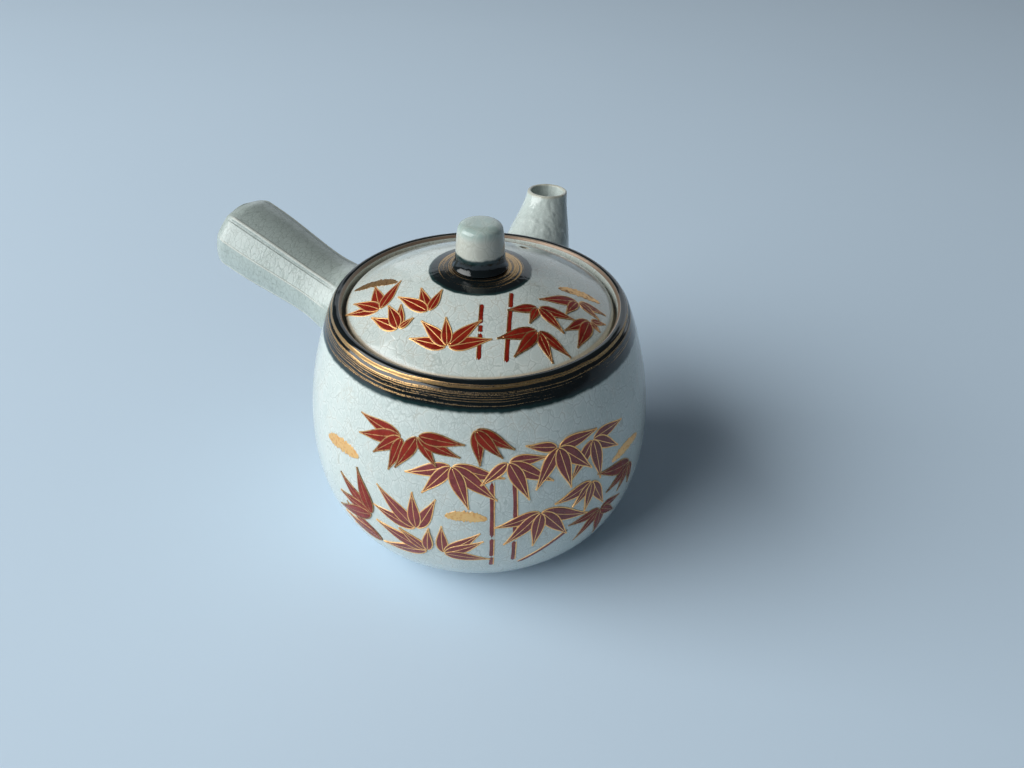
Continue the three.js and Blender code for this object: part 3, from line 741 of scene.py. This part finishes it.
# Pale ring round the vent: a painted highlight.
vent_painted_highlight = ramp(from_vent, VENT_R + 0.15, VENT_R + 0.55, 0.7, 0.0)
glaze = blended(vent_painted_highlight, glaze, (0.70, 0.69, 0.60, 1))
# Dark brown in the vent hole and at its edge: painted shade.
vent_painted_shade = ramp(from_vent, VENT_R - 0.05, VENT_R + 0.1, 0.8, 0.0)
glaze = blended(vent_painted_shade, glaze, (0.20, 0.15, 0.09, 1))
edge_shows = times(ramp(radius, LID_R - 0.9, LID_R - 0.45), 0.75)
glaze = blended(edge_shows, glaze, (0.60, 0.47, 0.32, 1))

ragged = wavering(radius, noise(flat, 0.25, 3.0), 0.9)
up_to_crown = plus(parts["Z"], times(maths("POWER", radius, 2.0), DOME_RISE / LID_R ** 2))
upper_face = ramp(up_to_crown, crown - 1.6, crown - 1.0)
disc = times(ramp(ragged, DISC_R - 0.25, DISC_R + 0.25, 1.0, 0.0), upper_face)
dark = blended(ramp(ragged, DISC_R - 1.2, DISC_R - 0.2), IRON_BLACK, IRON_TEAL)
DISC_STRIPES = [  # radius in mm, how much gold the brush left
    (6.0, 0.0), (7.2, 0.10), (7.6, 0.40), (9.0, 0.44), (9.3, 0.30), (9.6, 0.42), (10.9, 0.42), (11.15, 0.28),
    (11.4, 0.44), (11.9, 0.50), (12.1, 0.05), (12.3, 0.05), (12.4, 0.46), (12.5, 0.05), (14.0, 0.0)]
to_spout = vectors("DOT_PRODUCT", place, (0.006, 0.0125, 0))  # most gold on the side of the spout
load = minus(plus(striped(radius, DISC_STRIPES), to_spout), 0.03)
closer = vectors("MULTIPLY", place, (2.5, 2.5, 2.5))
rings = follow("ShaderNodeGroup", {"Vector": closer, "Across": radius, "Load": load}, node_tree=brushed)["Gold"]
gold = times(rings, disc)
colour = blended(disc, glaze, dark)
worn = plus(times(gold, 0.24), times(wiped, 0.65))
relief = plus(times(cracks["Height"], 0.045), times(noise(place, 0.12, 1.0), 0.5))
set_inputs(shader, {"Base Color": blended(gold, colour, GOLD), "Metallic": gold,
                    "Roughness": plus(worn, 0.07), "Normal": bump(relief, 0.6, 0.35)})
lid.data.materials.append(lid_glaze)
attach(lid, "lid")
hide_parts("lid")


# ---------------------------------------------------------------- Knob
# A small turned knob, luted onto the crown of the lid. White crackled glaze over its top, and the disc's black
# glaze drawn up round its neck.

KNOB_R = 6.8
KNOB_FOOT_R = 8.3
KNOB_H = 13.0
NECK_Z = 91.9  # where the black stops on the knob's side

knob_top = crown + KNOB_H
knob_profile = eased([
    (0.15, crown + SEAM), (KNOB_FOOT_R * 0.5, float(lid_height(KNOB_FOOT_R * 0.5)) + SEAM),
    (KNOB_FOOT_R, float(lid_height(KNOB_FOOT_R)) + SEAM), (KNOB_FOOT_R - 0.7, crown + 0.9),
    (KNOB_R + 0.35, crown + 2.2), (KNOB_R + 0.2, crown + 4.5), (KNOB_R - 0.25, knob_top - 2.5),
    (KNOB_R - 0.7, knob_top - 1.0), (KNOB_R - 1.9, knob_top - 0.25), (KNOB_R - 3.8, knob_top),
    (0.15, knob_top)], 1.6, 8)
knob = skin("glazed_knob", turned(knob_profile, 128))
knob_glaze, tree, shader = new_material("knob_glaze")
place, parts = on_wheel(tree)[:2]
cracks = follow("ShaderNodeGroup", {"Vector": in_mm(tree, (1.1, 1.1, 0.9))}, node_tree=crackle)
side = blended(cracks["Cloud"], (0.40, 0.42, 0.37, 1), (0.57, 0.57, 0.50, 1))
top = (0.37, 0.47, 0.44, 1)  # the glaze runs off the shoulder and stays thick and green on the flat top
glaze = blended(ramp(parts["Z"], knob_top - 4.0, knob_top - 0.8), side, top)
glaze = blended(times(cracks["Halo"], 0.3), glaze, (0.60, 0.63, 0.58, 1))
glaze = blended(times(cracks["Line"], 0.26), glaze, (0.30, 0.32, 0.25, 1))
wander = noise(place, 0.3, 2.0)
ragged = wavering(parts["Z"], wander, 1.2)
neck = ramp(ragged, NECK_Z - 0.35, NECK_Z + 0.35, 1.0, 0.0)
dark = blended(ramp(ragged, NECK_Z - 2.2, NECK_Z), IRON_BLACK, IRON_TEAL)
set_inputs(shader, {"Base Color": blended(neck, glaze, dark), "Roughness": 0.07,
                    "Normal": bump(plus(times(cracks["Height"], 0.05), wander), 0.5, 0.3)})
knob.data.materials.append(knob_glaze)
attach(knob, "lid")
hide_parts("lid_knob")


# ---------------------------------------------------------------- Painted bamboo on the body
# Sprays of bamboo leaves on two thin stems, painted over the glaze in thick red enamel that stands up from it,
# each leaf and stem edged and veined with a fine line of gold, with a few dabs of plain gold between.

ARC_Z = np.linspace(FOOT_H, POT_H, 3000)
ARC = np.concatenate([[0], np.cumsum(np.hypot(np.diff(ARC_Z), np.diff(body_radius(ARC_Z))))])


def on_body(bearing, height, along, rise, lift):
    """Point of the body's face, along to the right and rise upwards on the surface from a bearing (degrees) and a
    height (mm), and lift off it along its normal."""
    z = np.interp(np.interp(height, ARC_Z, ARC) + rise, ARC, ARC_Z)
    r, r0 = body_radius(z), body_radius(height)
    a = np.radians(bearing) + 2 * along / (r + r0)
    slope = (body_radius(z + 0.05) - body_radius(z - 0.05)) / 0.1
    level = 1 / np.sqrt(1 + slope ** 2)
    reach = r + lift * level
    return np.stack([reach * np.cos(a), reach * np.sin(a), z - lift * level * slope], -1)


def on_lid(x, y, along, rise, lift):
    """Point of the lid's upper face at (x + along, y + rise) from the axis, raised by lift."""
    px, py = x + along, y + rise
    return np.stack([px + 0 * lift, py + 0 * lift, lid_height(np.hypot(px, py)) + lift], -1)


def strokes(place, path, half, lift, sink=0.12, around=10):
    """Raised strokes of enamel: across each path by half·cos a to its left, half being 0.02 mm or more, up to
    lift - 0.01·(1 - sin a) over the glaze and down by sink·|sin a| into it."""
    way = np.gradient(path, axis=-2)
    way /= np.linalg.norm(way, axis=-1, keepdims=True)
    left = np.stack([-way[..., 1], way[..., 0]], -1)
    a = np.arange(around) * 2 * np.pi / around
    across = np.maximum(half, 0.02)[..., None, None] * np.cos(a)[:, None] * left[..., None, :]
    flat = path[..., None, :] + across
    s = np.sin(a)
    raised = np.where(s > -1e-9, lift[..., None] - 0.01 * (1 - s), -sink * np.abs(s))
    return place(flat[..., 0], flat[..., 1], raised)


NODE_GAP = 0.5  # each leaf starts this far from its spray's middle, mm
PAINT = 0.07  # thickness of the enamel
SPRAY_STEP = 0.08  # how much higher a spray lies than the one that it crosses
LEAF_STEP = 0.016  # how much higher each leaf of a spray lies than the one before
GOLD_STEP = 0.008  # how much higher a leaf's gold lies than its enamel
EDGE_LINE = 0.16  # half width of the gold line round a leaf
VEIN_LINE = 0.10  # half width of its vein


def headings(turn):
    """The way ahead at turn degrees, and the way to the left of it."""
    ahead = np.stack([np.cos(np.radians(turn)), np.sin(np.radians(turn))], -1)
    return ahead, np.stack([-ahead[..., 1], ahead[..., 0]], -1)


def leaf_parts(leaves):
    """The leaves' middles, half widths, edges and veins in the plane of the surface. leaves is an array of rows
    (direction in degrees, length, width, curl). Half width: 2.18·width·u^0.75·(1-u)^1.6, u from base to tip,
    and the leaf bows sideways by curl·length·u²."""
    turn, length, width, curl = [leaves[:, n, None] for n in range(4)]
    u = (1 - np.cos(np.linspace(0, np.pi, 22))) / 2
    ahead, left = headings(turn)

    def bowed(u):
        return NODE_GAP * ahead + ahead * (length * u)[..., None] + left * (curl * length * u ** 2)[..., None]

    half = 2.18 * width * u ** 0.75 * (1 - u) ** 1.6
    sides = [bowed(u) + left * (sign * (half + 0.10))[..., None] for sign in (1, -1)]
    return bowed(u), half, sides, bowed(np.linspace(0.04, 0.86, 22))


def leaf_table(clusters):
    """Rows (centre a, centre b, direction, length, width, curl, tone, lift) from sprays of (a, b, tone,
    [(direction, length), ...]). Each leaf of a spray lies over the one before, and neighbouring sprays over each
    other in turn."""
    rows = [(a, b, turn, length - NODE_GAP, 0.23 * length + 0.5, 0.05 * ((n % 3) - 1),
             list(ENAMELS).index(tone), PAINT + SPRAY_STEP * (c % 3) + LEAF_STEP * n)
            for c, (a, b, tone, leaves) in enumerate(clusters) for n, (turn, length) in enumerate(leaves)]
    return np.array(rows, float)


BODY_LEAVES = [  # bearing (degrees), height (mm), enamel, leaves as (direction, length in mm)
    (-112, 60.7, "brick", [(174, 13.9), (-164, 14.5), (-141, 11.5), (-105, 11.7)]),
    (-107, 62.1, "brick", [(-115, 12.6), (-55, 9.6), (-24, 12.5), (-1, 12.7)]),
    (-89, 65.7, "brick", [(-80, 10.6), (-32, 12.0), (-53, 11.1)]),
    (-96, 55.3, "plum", [(-158, 13.5), (-129, 12.7), (-18, 14.5), (-39, 16.2), (-71, 14.4)]),
    (-79, 56.4, "plum", [(0, 10.9), (-137, 10.0), (-37, 15.0), (-64, 14.1)]),
    (-63, 57.9, "plum", [(168, 9.3), (2, 13.0), (-123, 13.5), (-43, 15.0), (-76, 14.7)]),
    (-50, 56.0, "plum", [(2, 12.6), (-36, 12.6), (-131, 13.0), (-78, 14.5)]),
    (-31, 38.4, "brick", [(164, 17.0), (-162, 12.6), (-132, 9.6), (-84, 8.8)]),
    (-51, 42.8, "plum", [(-164, 12.7), (-136, 9.3), (-68, 12.3), (-100, 10.4)]),
    (-46, 29.4, "brick", [(-5, 10.2), (-179, 12.0), (-135, 12.6), (-82, 13.4), (-40, 11.0)]),
    (-69, 38.6, "plum", [(-162, 13.4), (-134, 14.9), (-28, 17.2), (-52, 15.2), (-98, 13.5)]),
    (-123, 30.9, "brick", [(147, 15.1), (108, 15.5), (173, 13.4), (-154, 17.0)]),
    (-107, 32.0, "plum", [(168, 14.3), (136, 16.8), (62, 13.5), (97, 13.1)]),
    (-121, 19.8, "brick", [(147, 15.8), (178, 11.5), (165, 15.4)]),
    (-104, 23.4, "plum", [(-163, 15.5), (158, 17.0), (137, 10.7), (88, 9.9)]),
    (-99, 23.3, "plum", [(93, 11.7), (43, 14.4), (27, 13.1), (-6, 13.3)]),
]
BODY_STEMS = [  # bearing and height of the foot, direction and length of each length of stem
    (-84, 17.7, 90, 4.6), (-84, 22.6, 90, 8.2), (-84, 31.2, 90, 19.6),
    (-77, 19.5, 91, 9.6), (-77, 29.3, 91, 8.0), (-77, 37.5, 91, 12.8),
    (-59, 27.5, -145, 17.5),
]
BODY_DABS = [  # the same, and the dab's width
    (-144, 47.8, 5, 14.8, 4.8), (-98, 39.0, -3, 11.6, 3.9), (-42, 44.6, 1, 15.1, 3.6)]


def enamel(name, base, spread, rough, gloss):
    """A thick glossy enamel whose depth, and so its colour, varies along the brush strokes, with fine pinholes."""
    made, tree, shader = new_material(name)
    place = in_mm(tree)
    pools = noise(place, 0.35, 3.0, 0.55)
    grain = noise(place, 2.4, 2.0)
    deep = plus(times(pools, 0.7), times(grain, 0.3))
    set_inputs(shader, {
        "Base Color": blended(ramp(deep, 0.36, 0.62), base, spread),
        "Roughness": ramp(grain, 0.3, 0.7, rough, rough + 0.12),
        "Specular IOR Level": gloss, "Normal": bump(grain, 0.5, 0.08)})
    return made


def gold_paint(name, thin, thick, metal):
    """Gold paint, brighter where it lies thick and duller where it is worn."""
    made, tree, shader = new_material(name)
    wear = noise(in_mm(tree), 1.1, 4.0)
    set_inputs(shader, {
        "Base Color": blended(ramp(wear, 0.34, 0.52), thin, thick), "Metallic": metal,
        "Roughness": ramp(wear, 0.3, 0.6, 0.48, 0.32), "Normal": bump(wear, 0.5, 0.05)})
    return made


brick = enamel("brick_red_enamel", (0.165, 0.010, 0.005, 1), (0.250, 0.019, 0.008, 1), 0.16, 0.2)
plum = enamel("plum_red_enamel", (0.170, 0.024, 0.024, 1), (0.245, 0.040, 0.037, 1), 0.16, 0.5)
bright_gold = gold_paint("bright_leaf_gold", (0.88, 0.44, 0.15, 1), (1.0, 0.60, 0.24, 1), 0.7)
thin_gold = gold_paint("thin_leaf_gold", (0.24, 0.11, 0.04, 1), (0.55, 0.32, 0.13, 1), 0.85)
ENAMELS = {"brick": (brick, thin_gold), "plum": (plum, bright_gold), "red": (brick, bright_gold)}


def lay_paint(name, rings, material, body_name):
    """Strokes of one paint as one piece, which moves with its body."""
    piece = skin(name, rings)
    piece.data.materials.append(material)
    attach(piece, body_name)


def placed(place_on, rows):
    """place_on, from the place that each row starts with."""
    a, b = rows[:, 0, None, None], rows[:, 1, None, None]
    return lambda along, rise, lift: place_on(a, b, along, rise, lift)


def paint(body_name, place_on, leaves):
    """The leaves of each enamel as one piece, and their gold lines as another."""
    axis, half, sides, vein = leaf_parts(leaves[:, 2:6])
    place = placed(place_on, leaves)
    lifts = leaves[:, 7, None] + 0 * half
    fills = strokes(place, axis, half, lifts)
    lines = [strokes(place, path, EDGE_LINE + 0 * half, lifts + GOLD_STEP, around=6) for path in sides]
    lines.append(strokes(place, vein, VEIN_LINE + 0 * half, lifts + GOLD_STEP, around=6))
    for tone, (tone_name, (enamel_paint, edge_paint)) in enumerate(ENAMELS.items()):
        chosen = leaves[:, 6] == tone
        if chosen.any():
            gilt = np.concatenate([rings[chosen] for rings in lines])
            lay_paint(f"{body_name}_leaves_{tone_name}", fills[chosen], enamel_paint, body_name)
            lay_paint(f"{body_name}_gold_{tone_name}", gilt, edge_paint, body_name)


def headed(rows, count):
    """The way to the left of each stroke, steps from 0 to 1 along it, and its straight path. A row holds the
    stroke's direction in degrees third and its length fourth."""
    ahead, left = headings(rows[:, 2, None])
    t = np.linspace(0, 1, count)
    return left, t, ahead * (rows[:, 3, None] * t)[..., None]


def dabs_and_stems(body_name, place_on, stems, dabs, width, stem_paint, gold):
    """Lengths of stem with a gold line down the right side, and bowed dabs of gold with ragged edges."""
    rows = np.array(stems, float)
    place = placed(place_on, rows)
    left, t, path = headed(rows, 16)
    ends = np.clip(np.minimum(t, 1 - t) * 12, 0, 1) ** 0.5
    half = width / 2 * (ends * (0.9 + 0.1 * np.cos(2 * np.pi * t))) + 0 * path[..., 0]
    stem = strokes(place, path, half, PAINT + 0 * half)
    lay_paint(body_name + "_stems", stem, stem_paint, body_name)
    line = path - left * (width / 2 + 0.05)
    edging = strokes(place, line, 0.15 * ends + 0 * half, 0.09 + 0 * half, around=6)
    lay_paint(body_name + "_stem_gold", edging, gold, body_name)

    rows = np.array(dabs, float)
    left, t, path = headed(rows, 46)
    path = path + left * (0.06 * rows[:, 3, None] * np.sin(np.pi * t))[..., None]
    ragged = np.random.default_rng(7).normal(0, 0.14, (len(rows), len(t)))
    half = rows[:, 4, None] / 2 * np.clip((np.sin(np.pi * t) ** 0.5) * (0.95 + ragged), 0, 1.25)
    dab = strokes(placed(place_on, rows), path, half, 0.06 + 0 * half, around=16)
    lay_paint(body_name + "_gold_dabs", dab, gold, body_name)


paint("pot", on_body, leaf_table(BODY_LEAVES))
dabs_and_stems("pot", on_body, BODY_STEMS, BODY_DABS, 1.25, plum, bright_gold)


# ---------------------------------------------------------------- Painted bamboo on the lid
# The same painting on the front of the lid: four sprays that stand up at the left, four that hang at the right,
# and two lengths of stem between them.

LID_LEAVES = [  # x and y (mm) from the axis, enamel, leaves as (direction, length in mm)
    (-27.0, -14.1, "red", [(107, 12.8), (159, 11.6), (136, 11.9), (69, 11.6)]),
    (-13.1, -19.4, "red", [(109, 10.2), (138, 12.4), (65, 8.3)]),
    (-20.9, -23.3, "red", [(142, 10.9), (91, 8.6), (109, 10.4), (36, 4.7)]),
    (-7.2, -30.7, "red", [(162, 11.1), (131, 11.5), (8, 11.8), (44, 11.5), (96, 8.9)]),
    (27.8, -8.2, "brick", [(-155, 12.0), (-2, 8.2), (-120, 7.8), (-29, 7.1)]),
    (16.4, -16.1, "brick", [(-157, 8.8), (-110, 6.4), (-4, 10.3), (-38, 9.4)]),
    (31.0, -14.0, "brick", [(-133, 10.2), (19, 5.0), (-45, 3.9), (-106, 11.8)]),
    (16.4, -23.8, "brick", [(-155, 11.6), (-29, 10.2), (-66, 9.1), (-122, 10.7)]),
]
LID_STEMS = [(1.3, -17.7, -91, 6.4), (1.3, -24.6, -91, 2.0), (1.3, -27.0, -91, 7.2),
             (9.2, -12.4, -92, 5.6), (9.0, -18.6, -92, 7.8), (8.6, -27.0, -92, 7.2)]
LID_DABS = [(-37.2, 2.0, -23, 15.0, 3.9), (22.2, -5.3, 7, 12.5, 3.3)]
paint("lid", on_lid, leaf_table(LID_LEAVES))
dabs_and_stems("lid", on_lid, LID_STEMS, LID_DABS, 1.1, brick, thin_gold)
